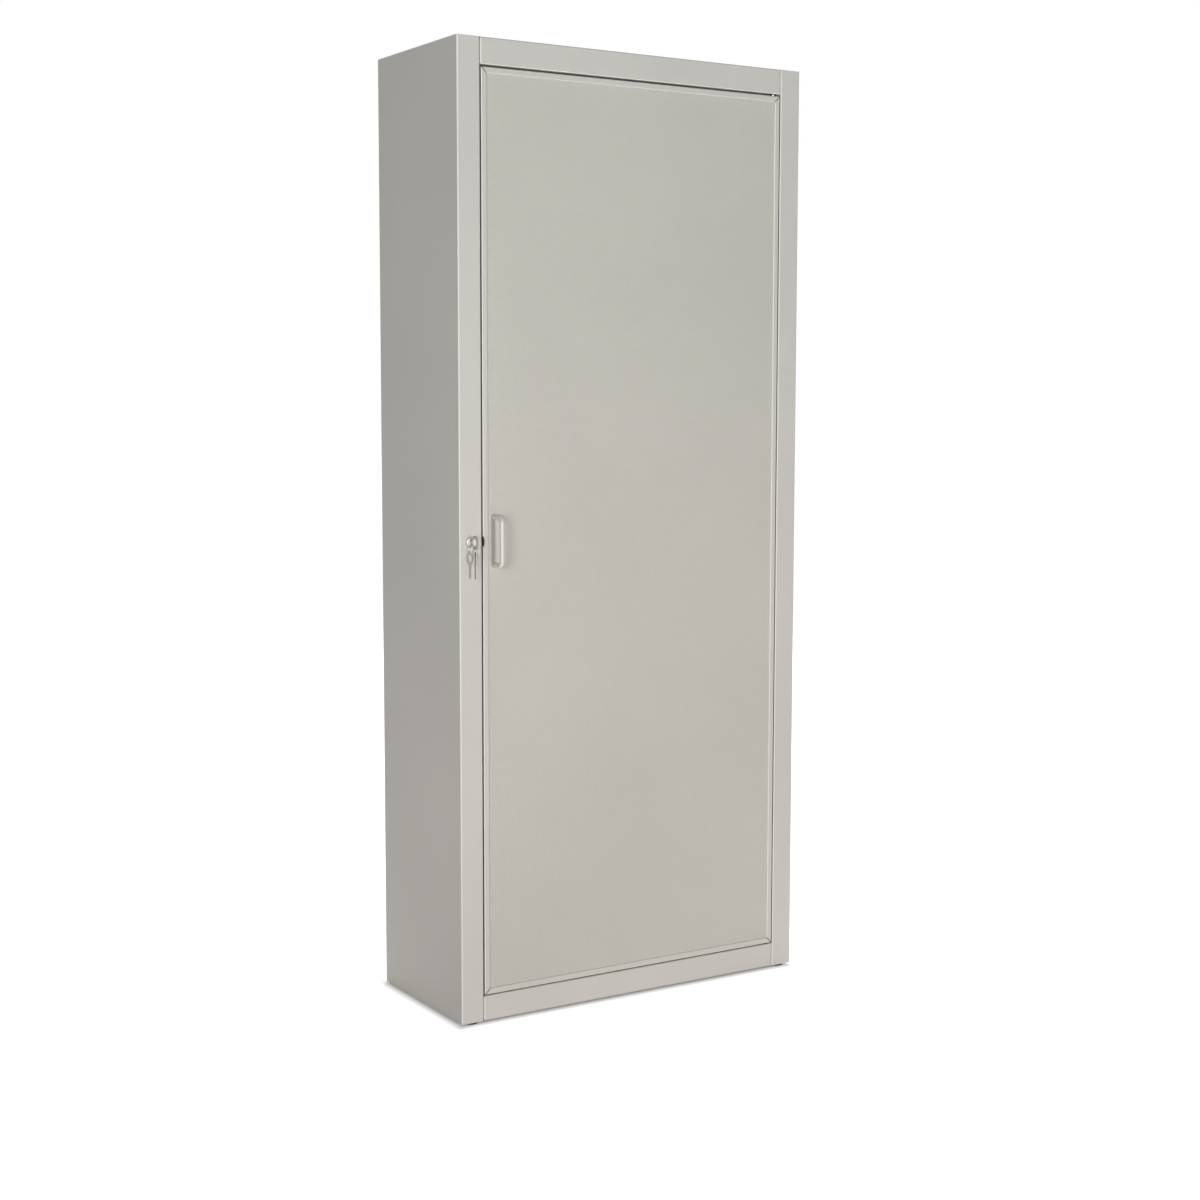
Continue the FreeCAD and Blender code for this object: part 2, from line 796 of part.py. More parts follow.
def bolt_relief():
    """Shallow round relief in the door's front edge, over the bolt's slot."""
    radius = (bolt_half_height ** 2 + bolt_relief_depth ** 2) / (2 * bolt_relief_depth)
    centre = Vector(door_left + bolt_relief_depth - radius, front_y - cut_overrun, lock_height)
    return bar(radius, centre, BACK, cut_overrun + bolt_y - front_y)


def lock_rivet_places():
    """Two rivets that hold the case to the stile's return."""
    y = bolt_y + bolt_thickness / 2
    z_reach = (bolt_half_height + case_half_height) / 2
    return [Vector(-half_opening, y, lock_height + side * z_reach) for side in (-1, 1)]


def lock_rivet_holes():
    radius = lock_rivet_radius + fit_gap
    return [bar(radius, place, -RIGHT, sheet + case_wall) for place in lock_rivet_places()]


def lock_rivets():
    rivets = [headed_pin(lock_rivet_radius, place, -RIGHT, sheet + case_wall, rivet_head_share,
                         rivet_head_height) for place in lock_rivet_places()]
    return Part.makeCompound(rivets)


def lock_case():
    """Box inside the stile round the bolt and the plug."""
    z_low = lock_height - case_half_height
    z_high = lock_height + case_half_height
    shell = block(case_left, case_right, case_front_y + sheet_bend, case_back_y, z_low, z_high)
    hollow = block(case_left + case_wall, case_right - case_wall, case_front_y + sheet_bend + case_wall,
                   case_back_y - case_wall, z_low + case_wall, z_high - case_wall)
    barrel_hole = bar(barrel_radius + fit_gap, Vector(lock_x, case_front_y, lock_height), BACK,
                      case_wall + sheet_bend + cut_overrun)
    plug_end = Vector(lock_x, case_back_y - case_wall - cut_overrun, lock_height)
    plug_hole = bar(plug_radius + pin_play, plug_end, BACK, case_wall + 2 * cut_overrun)
    return shell.cut(Part.makeCompound([hollow, barrel_hole, plug_hole, bolt_slot()] + lock_rivet_holes()))


def lock_cylinder():
    """Barrel through the stile with a round flange in front."""
    start = Vector(lock_x, front_y, lock_height)
    flange = bar(barrel_flange_radius, start, -BACK, barrel_flange)
    rim = [edge for edge in flange.Edges if edge.BoundBox.YMax < plug_front_y + sheet]
    flange = flange.makeFillet(barrel_flange_edge, rim)
    barrel = joined([flange, bar(barrel_radius, start, BACK, barrel_length)])
    bore = bar(plug_radius + pin_play, start - BACK * barrel_flange, BACK, barrel_flange + barrel_length)
    return barrel.cut(bore)


def lock_nut():
    """Ring nut that holds the barrel in the case's front wall."""
    y = case_front_y + sheet_bend + case_wall
    corner = nut_across_flats / 2 / math.cos(math.radians(30))
    points = [Vector(lock_x + corner * math.cos(turn), y, lock_height + corner * math.sin(turn))
              for turn in (math.radians(60 * step) for step in range(6))]
    hexagon = Part.Face(Part.makePolygon(points + points[:1])).extrude(BACK * nut_thickness)
    return hexagon.cut(bar(barrel_radius + fit_gap, Vector(lock_x, y, lock_height), BACK, nut_thickness))


def drive_pin_place():
    """Where the plug's drive pin stands with the bolt back."""
    turn = math.radians(drive_turn_degrees / 2)
    return Vector(lock_x - drive_radius * math.sin(turn), 0, lock_height + drive_radius * math.cos(turn))


def lock_plug():
    """Turning plug with a keyway, a collar behind the barrel and a pin that drives the bolt."""
    start = Vector(lock_x, plug_front_y, lock_height)
    core = bar(plug_radius, start, BACK, case_back_y - plug_front_y)
    collar_radius = drive_radius + drive_pin_radius + collar_edge
    collar = bar(collar_radius, Vector(lock_x, collar_y, lock_height), BACK, collar_sheet)
    pin_start = drive_pin_place() + BACK * collar_y
    pin = bar(drive_pin_radius, pin_start, BACK, collar_sheet + bolt_play + bolt_thickness)
    half = key_sheet / 2 + key_play
    half_tall = key_blade_width / 2 + key_play
    keyway = block(lock_x - half, lock_x + half, plug_front_y, case_back_y, lock_height - half_tall,
                   lock_height + half_tall)
    return joined([core, collar, pin]).cut(keyway)


def lock_bolt():
    """Flat bolt with a window round the plug and a notch for the drive pin."""
    window_half = plug_radius + bolt_play
    x_left = lock_x - bolt_throw - window_half - bolt_end_wall
    y_high = bolt_y + bolt_thickness
    plate = block(x_left, -half_opening - bolt_setback, bolt_y, y_high, lock_height - bolt_half_height,
                  lock_height + bolt_half_height)
    window = block(lock_x - bolt_throw - window_half, lock_x + window_half, bolt_y, y_high,
                   lock_height - window_half, lock_height + window_half)
    pin_x = drive_pin_place().x
    notch_half = drive_pin_radius + drive_play
    notch = block(pin_x - notch_half, pin_x + notch_half, bolt_y, y_high, lock_height,
                  lock_height + drive_radius + drive_pin_radius + drive_play)
    return plate.cut(window).cut(notch)


# Keys and ring

def flat_key():
    """A key in the XY plane: its round bow about the origin and its blade along +X."""
    bow = bar(key_bow_radius, Vector(0, 0, -key_sheet / 2), UP, key_sheet)
    half = key_blade_width / 2
    root = math.sqrt(key_bow_radius ** 2 - half ** 2)
    tip = key_bow_radius + key_blade_length
    outline = [(root, -half), (tip - key_tip_chamfer, -half), (tip, 0), (tip - key_tip_chamfer, half)]
    for step in range(key_cut_count):
        cut_x = tip - key_tip_chamfer - key_cut_pitch * (step + 1)
        outline += [
            (cut_x + key_cut_pitch / 2, half),
            (cut_x + key_cut_pitch / 4, half - key_cut_depth),
            (cut_x, half - key_cut_depth),
            (cut_x - key_cut_pitch / 4, half),
        ]
    outline.append((root, half))
    points = [Vector(x, y, -key_sheet / 2) for x, y in outline]
    blade = Part.Face(Part.makePolygon(points + points[:1])).extrude(UP * key_sheet)
    hole = bar(key_hole_radius, Vector(0, 0, -key_sheet / 2), UP, key_sheet)
    return joined([bow, blade]).cut(hole)


def key():
    """The key in the lock, upright, with its blade pointing back."""
    shape = flat_key()
    turn = FreeCAD.Rotation(Vector(1, 1, 1), 120)
    shape.Placement = FreeCAD.Placement(Vector(lock_x, bow_y, lock_height), turn)
    return shape


def key_ring():
    """Wire ring through the key's bow, hanging in front of the stile, turned a little to the left."""
    facing = FreeCAD.Rotation(UP, hang_turn_degrees).multVec(BACK)
    return Part.makeTorus(ring_radius, ring_wire_radius, Vector(lock_x, bow_y, ring_middle_z), facing)


def spare_key():
    """The same key hanging square to the ring, with its blade pointing down."""
    shape = flat_key()
    upright = FreeCAD.Rotation(RIGHT, -90).multiply(FreeCAD.Rotation(Vector(1, 1, 1), 120))
    turn = FreeCAD.Rotation(UP, hang_turn_degrees).multiply(upright)
    shape.Placement = FreeCAD.Placement(Vector(lock_x, bow_y, spare_bow_z), turn)
    return shape


# Every node of the part

def nodes():
    yield "left_side_panel", left_side_panel()
    yield "right_side_panel", right_side_panel()
    yield "top_panel", top_panel()
    yield "bottom_panel", bottom_panel()
    yield "back_panel", back_panel()
    yield "back_panel_rivets", back_panel_rivets()
    for number, place in enumerate(foot_places(), 1):
        yield f"foot_{number}", foot(place)
        yield f"foot_plate_{number}", foot_plate(place)
    yield "hat_shelf", hat_shelf()
    for number, (side, y_middle) in enumerate(shelf_bracket_places(), 1):
        yield f"shelf_bracket_{number}", shelf_bracket(side, y_middle)
    yield "hook_rail", hook_rail()
    yield "hook_rail_screws", hook_rail_screws()
    for number, x in enumerate(hook_xs(), 1):
        yield f"broom_hook_{number}", broom_hook(x)
    yield "door_frame_left", door_frame_left()
    yield "door_frame_right", door_frame_right()
    yield "door_frame_top", door_frame_top()
    yield "door_frame_bottom", door_frame_bottom()
    yield "door_panel", door_panel()
    for number, bracket in enumerate(corner_brackets(), 1):
        yield f"door_corner_bracket_{number}", bracket
    yield "door_stiffener", door_stiffener()
    yield "door_handle", door_handle()
    yield "handle_backing_plate", handle_backing_plate()
    yield "handle_screws", handle_screws()
    yield "top_pivot_block", pivot_block(door_top, -1)
    yield "bottom_pivot_block", pivot_block(door_bottom, 1)
    yield "top_pivot_pin", pivot_pin(door_top, -1, gap_top)
    yield "bottom_pivot_pin", pivot_pin(door_bottom, 1, gap_bottom)
    yield "top_pivot_bush", pivot_bush(rail_z, -1)
    yield "bottom_pivot_bush", pivot_bush(floor_z, 1)
    for number, z in enumerate(buffer_heights(), 1):
        yield f"door_buffer_{number}", door_buffer(z)
    yield "lock_case", lock_case()
    yield "lock_cylinder", lock_cylinder()
    yield "lock_nut", lock_nut()
    yield "lock_rivets", lock_rivets()
    yield "lock_plug", lock_plug()
    yield "lock_bolt", lock_bolt()
    yield "key", key()
    yield "key_ring", key_ring()
    yield "spare_key", spare_key()


def main():
    os.makedirs("parts", exist_ok=True)
    for name, shape in nodes():
        shape.exportStep(f"parts/{name}.step")
        box = shape.BoundBox
        print(name, len(shape.Solids), shape.isValid(), round(shape.Volume, 1),
              [round(value, 2) for value in (box.XMin, box.XMax, box.YMin, box.YMax, box.ZMin, box.ZMax)])


main()
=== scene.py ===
import json
import math

import bpy
from mathutils import Matrix, Vector


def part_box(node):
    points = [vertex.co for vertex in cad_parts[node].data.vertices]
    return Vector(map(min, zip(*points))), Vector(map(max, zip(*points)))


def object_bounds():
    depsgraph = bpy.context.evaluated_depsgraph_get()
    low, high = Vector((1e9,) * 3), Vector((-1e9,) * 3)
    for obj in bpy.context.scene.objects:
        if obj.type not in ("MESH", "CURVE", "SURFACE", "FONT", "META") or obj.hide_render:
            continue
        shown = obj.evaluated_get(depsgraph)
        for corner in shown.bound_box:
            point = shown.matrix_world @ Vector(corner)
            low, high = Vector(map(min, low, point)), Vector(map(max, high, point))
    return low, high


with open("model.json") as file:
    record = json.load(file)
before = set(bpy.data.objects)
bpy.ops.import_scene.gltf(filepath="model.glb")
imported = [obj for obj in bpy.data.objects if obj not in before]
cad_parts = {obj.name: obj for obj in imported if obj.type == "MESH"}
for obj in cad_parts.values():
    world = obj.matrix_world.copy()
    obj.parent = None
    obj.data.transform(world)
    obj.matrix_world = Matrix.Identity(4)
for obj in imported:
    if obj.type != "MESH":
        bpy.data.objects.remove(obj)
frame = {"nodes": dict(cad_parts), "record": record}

cad_low, cad_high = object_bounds()

# Colours, in linear light
# The LOW colours are painted lighter and warmer than the HIGH ones: painted light towards the floor
COAT_HIGH = (0.570, 0.562, 0.526, 1)
COAT_LOW = (0.618, 0.584, 0.543, 1)
# Painted highlight on the coat's bends
COAT_PAINTED_HIGHLIGHT = (0.800, 0.780, 0.740, 1)
# Dusty tone on what faces up, partly painted shade there
COAT_DUST_AND_SHADE = (0.450, 0.430, 0.395, 1)
# Painted shade in the gap round the door
COAT_GAP_SHADE = (0.150, 0.142, 0.128, 1)
# Likewise for the door sheet: its lower colour is painted light towards the floor
PANEL_HIGH = (0.573, 0.572, 0.519, 1)
PANEL_LOW = (0.606, 0.575, 0.520, 1)
# Painted shade seen through the door sheet's holes
HOLE_SHADE_COLOUR = (0.250, 0.240, 0.220, 1)
ZINC_LIGHT = (0.47, 0.48, 0.49, 1)
ZINC_DARK = (0.33, 0.34, 0.36, 1)
# Lighter copy of the zinc for the pivot pins: painted light on them in the shaded gap
PIN_LIGHT = (0.86, 0.87, 0.88, 1)
PIN_DARK = (0.72, 0.73, 0.74, 1)
NICKEL_LIGHT = (0.50, 0.49, 0.465, 1)
NICKEL_DARK = (0.31, 0.305, 0.29, 1)
# Darker copy of the nickel for the spare key: painted shade
SPARE_KEY_LIGHT = (0.09, 0.087, 0.083, 1)
SPARE_KEY_DARK = (0.04, 0.039, 0.037, 1)
PLASTIC_LIGHT = (0.034, 0.034, 0.035, 1)
PLASTIC_DARK = (0.016, 0.016, 0.017, 1)
RUBBER_LIGHT = (0.040, 0.039, 0.038, 1)
RUBBER_DARK = (0.020, 0.019, 0.019, 1)
FLOOR_COLOUR = (0.64, 0.63, 0.61, 1)
WHITE = (1, 1, 1, 1)

# Roughness, from the glossiest patches to the dullest
COAT_ROUGHNESS = (0.46, 0.50)
ZINC_ROUGHNESS = (0.28, 0.42)
NICKEL_ROUGHNESS = (0.30, 0.42)
SPARE_KEY_ROUGHNESS = (0.36, 0.48)
PLASTIC_ROUGHNESS = (0.42, 0.58)
RUBBER_ROUGHNESS = (0.62, 0.78)
FLOOR_ROUGHNESS = 0.9

# Sizes on the surface, in metres
COAT_PEEL_SIZE = 0.0022
COAT_PEEL_DEPTH = 0.000045
COAT_CLOUD_SIZE = 0.35
COAT_SATIN_SIZE = 0.0875
COAT_DIRT_AND_SHADE_SIZE = 0.04375
PERFORATION_PITCH = 0.0042
PERFORATION_RADIUS = 0.00055
PERFORATION_EDGE = 0.00015
PERFORATION_DEPTH = 0.0003
METAL_CLOUD_SIZE = 0.0128
METAL_GRAIN_SIZE = 0.0016
METAL_GRAIN_DEPTH = 0.00002
PLASTIC_CLOUD_SIZE = 0.0096
PLASTIC_GRAIN_SIZE = 0.0008
PLASTIC_GRAIN_DEPTH = 0.00004

# Noise: its usual spread, its layers of detail, and how a drawn grain is squeezed along each axis
NOISE_SPREAD = (0.3, 0.7)
NOISE_DETAIL = 3
COAT_CLOUD_DETAIL = 5
METAL_CLOUD_DETAIL = 6
PLASTIC_GRAIN_DETAIL = 4
EVEN_STRETCH = (1, 1, 1)
METAL_GRAIN_STRETCH = (1, 1, 6)

# Tone of the coat: patches of light and dark, a painted highlight on the bends, and a dusty tone on what
# faces up that is partly painted shade
COAT_CLOUD_SHARES = (0.96, 1.02)
HIGHLIGHT_TURN = (0.01, 0.15)
HIGHLIGHT_ASIDE = 0.35
DUST_AND_SHADE_SHARES = (0.32, 0.42)

# Painted shade in the gap round the door: its share, the turn of what it lies on, and its place in metres
GAP_SHADE_SHARES = (0.75, 1.0)
GAP_SHADE_TURN = (0.80, 0.98)
GAP_SHADE_REACH = (-0.0003, 0.0043)
GAP_SHADE_FADE = 0.0002
GAP_SHADE_DEPTH = (0.004, 0.010)

# Lamps: bearing to the right of straight ahead and height above level in degrees, distances in metres
AIM = Vector((-0.10, cad_low.y, 1.00))
FRONT_LAMP = dict(bearing=3, rise=-3, distance=6.0, size=(0.7, 1.8), watts=164)
LEFT_LAMP = dict(bearing=-49, rise=5, distance=6.0, size=(2.0, 2.6), watts=155)
BACK_LAMP = dict(bearing=140, rise=28, distance=6.0, size=(2.0, 2.6), watts=260)
SKY_STRENGTH = 0.12

# Floor: its size and the reach of the shade by the cupboard in metres, and how the shade falls off
FLOOR_HALF_SIZE = 30
CONTACT_INSIDE = 0.030
CONTACT_OUTSIDE = 0.023
CONTACT_RIGHT_INSET = 0.014
CONTACT_FALL_POWER = 2

# Camera, found from the cupboard's edges in the photograph
CAMERA_PLACE = Vector((-2.1834, -3.5146, 1.2686))
CAMERA_YAW = math.radians(31.974)
CAMERA_PITCH = math.radians(-5.590)
CAMERA_ROLL = math.radians(0.087)
LENS_MM = 58.148
SENSOR_MM = 36
PICTURE_SHIFT_Y = -0.015

# Places of the colour sockets of a Mix node, which share their names with its other sockets
MIX_LOW, MIX_HIGH, MIX_RESULT = 6, 7, 2


# Finishes

class Finish:
    """A material under construction: its shader and the surface's own coordinates."""

    def __init__(self, name, **settings):
        self.material = bpy.data.materials.new(name)
        self.material.use_nodes = True
        self.nodes = self.material.node_tree.nodes
        self.links = self.material.node_tree.links
        self.shader = self.nodes["Principled BSDF"]
        for socket, value in settings.items():
            self.shader.inputs[socket.replace("_", " ")].default_value = value
        coordinates = self.nodes.new("ShaderNodeTexCoord")
        self.place = coordinates.outputs["Object"]
        self.facing = coordinates.outputs["Normal"]

    def set(self, socket, value):
        """Lead a link into one of the shader's sockets."""
        self.links.new(value, self.shader.inputs[socket])

    def maths(self, operation, first, second=0):
        """The result of an operation on two values, each a number or a link."""
        node = self.nodes.new("ShaderNodeMath")
        node.operation = operation
        for socket, value in zip(node.inputs, (first, second)):
            if isinstance(value, (int, float)):
                socket.default_value = value
            else:
                self.links.new(value, socket)
        return node.outputs["Value"]

    def product(self, first, *others):
        """All the values multiplied together."""
        for other in others:
            first = self.maths("MULTIPLY", first, other)
        return first

    def vector(self, operation, first, second=None):
        """The result of an operation on a vector and a fixed vector, or a linked number for SCALE."""
        node = self.nodes.new("ShaderNodeVectorMath")
        node.operation = operation
        self.links.new(first, node.inputs[0])
        if operation == "SCALE":
            self.links.new(second, node.inputs["Scale"])
        elif second is not None:
            node.inputs[1].default_value = second
        return node.outputs["Value" if operation == "LENGTH" else "Vector"]

    def split(self, vector):
        """The three numbers of a vector."""
        node = self.nodes.new("ShaderNodeSeparateXYZ")
        self.links.new(vector, node.inputs["Vector"])
        return node.outputs["X"], node.outputs["Y"], node.outputs["Z"]

    def noise(self, size, detail=NOISE_DETAIL, stretch=EVEN_STRETCH):
        """Cloudy values with features about the given size."""
        scaled = self.vector("MULTIPLY", self.place, stretch)
        node = self.nodes.new("ShaderNodeTexNoise")
        node.inputs["Scale"].default_value = 1 / size
        node.inputs["Detail"].default_value = detail
        self.links.new(scaled, node.inputs["Vector"])
        return node.outputs["Fac"]

    def between(self, factor, low, high, from_low=NOISE_SPREAD[0], from_high=NOISE_SPREAD[1]):
        """A number that goes from low to high as the factor goes from its own low to its own high."""
        node = self.nodes.new("ShaderNodeMapRange")
        node.inputs["From Min"].default_value = from_low
        node.inputs["From Max"].default_value = from_high
        node.inputs["To Min"].default_value = low
        node.inputs["To Max"].default_value = high
        self.links.new(factor, node.inputs["Value"])
        return node.outputs["Result"]

    def blend(self, factor, low, high):
        """A colour that follows the factor from low to high; either may be a colour or a link."""
        node = self.nodes.new("ShaderNodeMix")
        node.data_type = "RGBA"
        self.links.new(factor, node.inputs["Factor"])
        for socket, value in ((node.inputs[MIX_LOW], low), (node.inputs[MIX_HIGH], high)):
            if isinstance(value, tuple):
                socket.default_value = value
            else:
                self.links.new(value, socket)
        return node.outputs[MIX_RESULT]

    def bump(self, height, depth, under=None):
        """The surface's direction with a relief of the given depth, laid over another relief or none."""
        node = self.nodes.new("ShaderNodeBump")
        node.inputs["Distance"].default_value = depth
        self.links.new(height, node.inputs["Height"])
        if under is not None:
            self.links.new(under, node.inputs["Normal"])
        return node.outputs["Normal"]

    def past(self, low, high):
        """How far the surface lies outside a box, along each axis."""
        middle, half = (low + high) / 2, (high - low) / 2
        from_middle = self.vector("ABSOLUTE", self.vector("SUBTRACT", self.place, middle))
        return self.split(self.vector("SUBTRACT", from_middle, half))

    def bends(self, low, high):
        """1 where the sheet is bent or rounded, and 0 on its flat faces, which lie square to the axes."""
        x, y, z = self.split(self.vector("ABSOLUTE", self.facing))
        steepest = self.maths("MAXIMUM", self.maths("MAXIMUM", x, y), z)
        return self.between(self.maths("SUBTRACT", 1, steepest), 0, 1, low, high)


def coat_painted_light_and_clouds(finish, low, high):
    """The coat's colour, painted lighter and warmer towards the floor as light, and in faint cloudy
    patches.
    """
    height = finish.split(finish.place)[2]
    colour = finish.blend(finish.between(height, 0, 1, cad_low.z, cad_high.z), low, high)
    clouds = finish.between(finish.noise(COAT_CLOUD_SIZE, COAT_CLOUD_DETAIL), *COAT_CLOUD_SHARES)
    return finish.vector("SCALE", colour, clouds)


def satin(finish):
    """The coat's roughness, in patches."""
    return finish.between(finish.noise(COAT_SATIN_SIZE), *COAT_ROUGHNESS)


def orange_peel(finish):
    """The fine relief of the baked powder."""
    return finish.bump(finish.noise(COAT_PEEL_SIZE), COAT_PEEL_DEPTH)


def gap_shade(finish):
    """Share of painted shade in the narrow gap round the door: on what faces sideways or down, near the
    front.
    """
    low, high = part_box("door_frame_left")[0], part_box("door_frame_right")[1]
    past_x, _, past_z = finish.past(low, high)
    from_door = finish.maths("MAXIMUM", past_x, past_z)
    nearest, farthest = GAP_SHADE_REACH
    beyond_door = finish.between(from_door, 0, 1, nearest, nearest + GAP_SHADE_FADE)
    within_reach = finish.between(from_door, 1, 0, farthest, farthest + GAP_SHADE_FADE)
    rightward, _, upward = finish.split(finish.facing)
    sideward = finish.maths("ABSOLUTE", rightward)
    downward = finish.maths("MULTIPLY", upward, -1)
    turned_in = finish.between(finish.maths("MAXIMUM", sideward, downward), 0, 1, *GAP_SHADE_TURN)
    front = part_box("left_side_panel")[0].y
    full_to, clean_from = GAP_SHADE_DEPTH
    shallow = finish.between(finish.split(finish.place)[1], 1, 0, front + full_to, front + clean_from)
    patches = finish.between(finish.noise(COAT_DIRT_AND_SHADE_SIZE), *GAP_SHADE_SHARES)
    return finish.product(patches, beyond_door, within_reach, turned_in, shallow)


def powder_coat():
    """Satin powder coat with a painted highlight on the bends, painted shade in the gap round the door,
    and a dusty tone with painted shade on what faces up.

    The painted highlight leaves out what faces up or to the hinge side, and the dusty tone dulls the
    gloss.
    """
    finish = Finish("grey_powder_coat")
    rightward, _, upward = finish.split(finish.facing)
    upward = finish.maths("MAXIMUM", upward, 0)
    # Painted highlight on the bends, left off what faces up or to the hinge side
    highlight_facing = finish.between(finish.maths("MAXIMUM", rightward, upward), 1, 0, 0, HIGHLIGHT_ASIDE)
    painted_highlight = finish.product(finish.bends(*HIGHLIGHT_TURN), highlight_facing)
    # Dusty tone on what faces up, partly painted shade there
    dust_and_shade = finish.product(upward, finish.between(finish.noise(COAT_DIRT_AND_SHADE_SIZE), *DUST_AND_SHADE_SHARES))
    coat = finish.blend(painted_highlight, coat_painted_light_and_clouds(finish, COAT_LOW, COAT_HIGH), COAT_PAINTED_HIGHLIGHT)
    # Painted shade in the gap round the door
    coat = finish.blend(gap_shade(finish), coat, COAT_GAP_SHADE)
    finish.set("Base Color", finish.blend(dust_and_shade, coat, COAT_DUST_AND_SHADE))
    finish.set("Roughness", finish.maths("ADD", satin(finish), dust_and_shade))
    finish.set("Normal", orange_peel(finish))
    return finish.material


def perforated_sheet():
    """The coated door sheet with rows of small round holes, painted dark as the shade seen through them,
    every second row offset by half.
    """
    finish = Finish("grey_perforated_sheet")
    cells = finish.vector("MULTIPLY", finish.place, (1 / PERFORATION_PITCH, 0, 1 / PERFORATION_PITCH))
    middle = (0.5, 0, 0.5)
    rows = []
    for grid in (cells, finish.vector("ADD", cells, middle)):
        within = finish.vector("FRACTION", grid)
        rows.append(finish.vector("LENGTH", finish.vector("SUBTRACT", within, middle)))
    from_hole = finish.maths("MINIMUM", *rows)
    inner = (PERFORATION_RADIUS - PERFORATION_EDGE) / PERFORATION_PITCH
    outer = (PERFORATION_RADIUS + PERFORATION_EDGE) / PERFORATION_PITCH
    sheet = finish.between(from_hole, 0, 1, inner, outer)
    finish.set("Base Color", finish.blend(sheet, HOLE_SHADE_COLOUR, coat_painted_light_and_clouds(finish, PANEL_LOW, PANEL_HIGH)))
    finish.set("Roughness", satin(finish))
    finish.set("Normal", finish.bump(sheet, PERFORATION_DEPTH, orange_peel(finish)))
    return finish.material


def plated(name, dark, light, roughness):
    """Plated metal with a fine drawn grain and cloudy dulling."""
    finish = Finish(name, Metallic=1)
    clouds = finish.noise(METAL_CLOUD_SIZE, METAL_CLOUD_DETAIL)
    finish.set("Base Color", finish.blend(clouds, dark, light))
    finish.set("Roughness", finish.between(clouds, *roughness))
    grain = finish.noise(METAL_GRAIN_SIZE, stretch=METAL_GRAIN_STRETCH)
    finish.set("Normal", finish.bump(grain, METAL_GRAIN_DEPTH))
    return finish.material


def moulded(name, dark, light, roughness):
    """Moulded plastic or rubber with a fine spark-eroded grain."""
    finish = Finish(name)
    grain = finish.noise(PLASTIC_GRAIN_SIZE, PLASTIC_GRAIN_DETAIL)
    finish.set("Base Color", finish.blend(finish.noise(PLASTIC_CLOUD_SIZE), dark, light))
    finish.set("Roughness", finish.between(grain, *roughness))
    finish.set("Normal", finish.bump(grain, PLASTIC_GRAIN_DEPTH))
    return finish.material


def dress():
    """Give every node the finish of its slot, or its own where it has one."""
    slot_finishes = {
        "grey_powder_coat": powder_coat(),
        "grey_perforated_sheet": perforated_sheet(),
        "zinc_steel": plated("zinc_steel", ZINC_DARK, ZINC_LIGHT, ZINC_ROUGHNESS),
        "nickel": plated("nickel", NICKEL_DARK, NICKEL_LIGHT, NICKEL_ROUGHNESS),
        "black_plastic": moulded("black_plastic", PLASTIC_DARK, PLASTIC_LIGHT, PLASTIC_ROUGHNESS),
        "black_rubber": moulded("black_rubber", RUBBER_DARK, RUBBER_LIGHT, RUBBER_ROUGHNESS),
    }
    # Lighter copy of the zinc: painted light on the pivot pins
    pin_with_painted_light = plated("zinc_with_painted_light", PIN_DARK, PIN_LIGHT, ZINC_ROUGHNESS)
    own_finishes = {
        # Darker copy of the nickel: painted shade on the spare key
        "spare_key": plated("nickel_painted_dark", SPARE_KEY_DARK, SPARE_KEY_LIGHT, SPARE_KEY_ROUGHNESS),
        "top_pivot_pin": pin_with_painted_light,
        "bottom_pivot_pin": pin_with_painted_light,
    }
    for subpart in frame["record"]["subparts"]:
        node = subpart["node"]
        mesh = frame["nodes"][node].data
        mesh.materials.clear()
        mesh.materials.append(own_finishes.get(node) or slot_finishes[subpart["material_slot"]])


# Floor and surroundings

def looks_on(tree):
    """1 for rays from the camera, a mirror or glass, which see white, and 0 for those that carry light."""
    path = tree.nodes.new("ShaderNodeLightPath").outputs
    seen = path["Is Camera Ray"]
    for kind in ("Is Glossy Ray", "Is Transmission Ray"):
        either = tree.nodes.new("ShaderNodeMath")
        either.operation = "MAXIMUM"
        tree.links.new(seen, either.inputs[0])
        tree.links.new(path[kind], either.inputs[1])
        seen = either.outputs["Value"]
    return seen


def floor_material():
    """Pale matt floor that is seen white, with painted shade that grows darker close to the cupboard and
    under it.
    """
    finish = Finish("studio_floor", Base_Color=FLOOR_COLOUR, Roughness=FLOOR_ROUGHNESS,
                    Specular_IOR_Level=0, Emission_Color=WHITE)
    low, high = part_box("left_side_panel")[0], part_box("right_side_panel")[1]
    high.x -= CONTACT_RIGHT_INSET
    past_x, past_y, _ = finish.past(low, high)
    from_edge = finish.maths("MAXIMUM", past_x, past_y)
    open_share = finish.between(from_edge, 0, 1, -CONTACT_INSIDE, CONTACT_OUTSIDE)
    glow = finish.maths("POWER", open_share, CONTACT_FALL_POWER)
    finish.set("Emission Strength", finish.product(glow, looks_on(finish.material.node_tree)))
    return finish.material


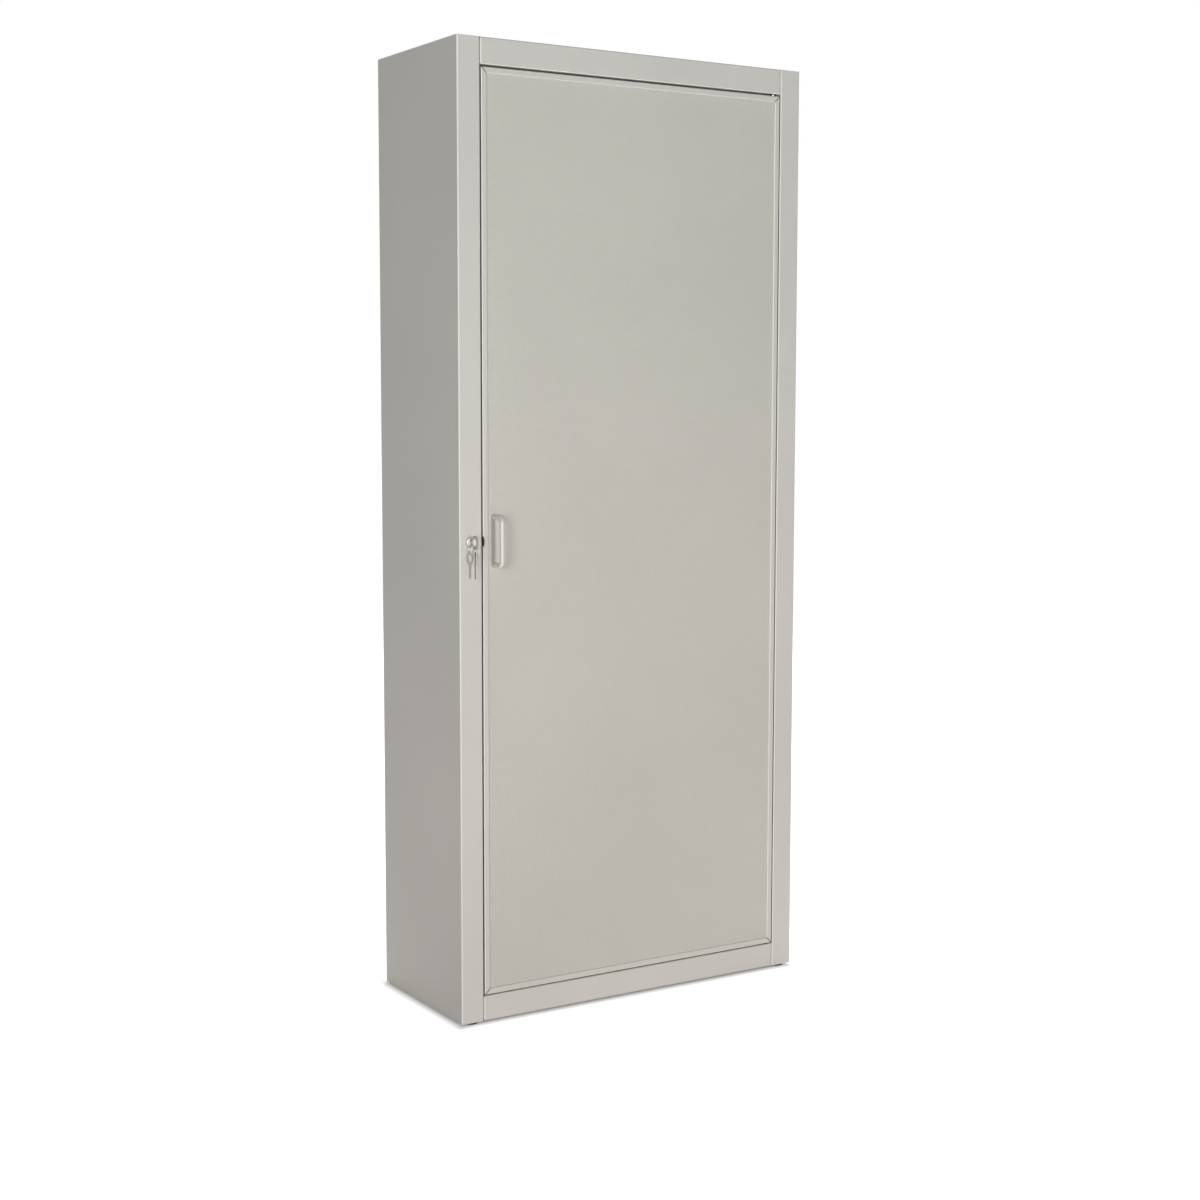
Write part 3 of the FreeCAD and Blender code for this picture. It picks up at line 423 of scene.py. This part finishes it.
def floor():
    """One large flat face at the cupboard's feet."""
    reach = FLOOR_HALF_SIZE
    mesh = bpy.data.meshes.new("studio_floor")
    corners = [(-reach, -reach, 0), (reach, -reach, 0), (reach, reach, 0), (-reach, reach, 0)]
    mesh.from_pydata(corners, [], [(0, 1, 2, 3)])
    mesh.materials.append(floor_material())
    plane = bpy.data.objects.new("studio_floor", mesh)
    bpy.context.scene.collection.objects.link(plane)


def surroundings():
    """White where it is seen and a softer even light where it lights the cupboard."""
    world = bpy.data.worlds.new("studio")
    world.use_nodes = True
    bpy.context.scene.world = world
    tree = world.node_tree
    background = tree.nodes["Background"]
    background.inputs["Color"].default_value = WHITE
    strength = tree.nodes.new("ShaderNodeMapRange")
    strength.inputs["To Min"].default_value = SKY_STRENGTH
    tree.links.new(looks_on(tree), strength.inputs["Value"])
    tree.links.new(strength.outputs["Result"], background.inputs["Strength"])


# Lamps and camera

def lamp(name, bearing, rise, distance, size, watts):
    """A soft rectangular lamp that faces the cupboard."""
    bearing = math.radians(bearing)
    rise = math.radians(rise)
    level = math.cos(rise)
    towards = Vector((math.sin(bearing) * level, -math.cos(bearing) * level, math.sin(rise)))
    light = bpy.data.lights.new(name, "AREA")
    light.shape = "RECTANGLE"
    light.size, light.size_y = size
    light.energy = watts
    holder = bpy.data.objects.new(name, light)
    holder.location = AIM + towards * distance
    holder.rotation_euler = (-towards).to_track_quat("-Z", "Y").to_euler()
    bpy.context.scene.collection.objects.link(holder)


def camera():
    """The photograph's point of view."""
    data = bpy.data.cameras.new("camera")
    data.lens = LENS_MM
    data.sensor_width = SENSOR_MM
    data.shift_y = PICTURE_SHIFT_Y
    holder = bpy.data.objects.new("camera", data)
    level = Matrix.Rotation(-CAMERA_YAW, 4, "Z") @ Matrix.Rotation(math.pi / 2 + CAMERA_PITCH, 4, "X")
    holder.matrix_world = Matrix.Translation(CAMERA_PLACE) @ level @ Matrix.Rotation(CAMERA_ROLL, 4, "Z")
    bpy.context.scene.collection.objects.link(holder)
    bpy.context.scene.camera = holder


dress()
floor()
surroundings()
lamp("front_lamp", **FRONT_LAMP)
lamp("left_lamp", **LEFT_LAMP)
lamp("back_lamp", **BACK_LAMP)
camera()
bpy.context.scene.view_settings.view_transform = "Standard"
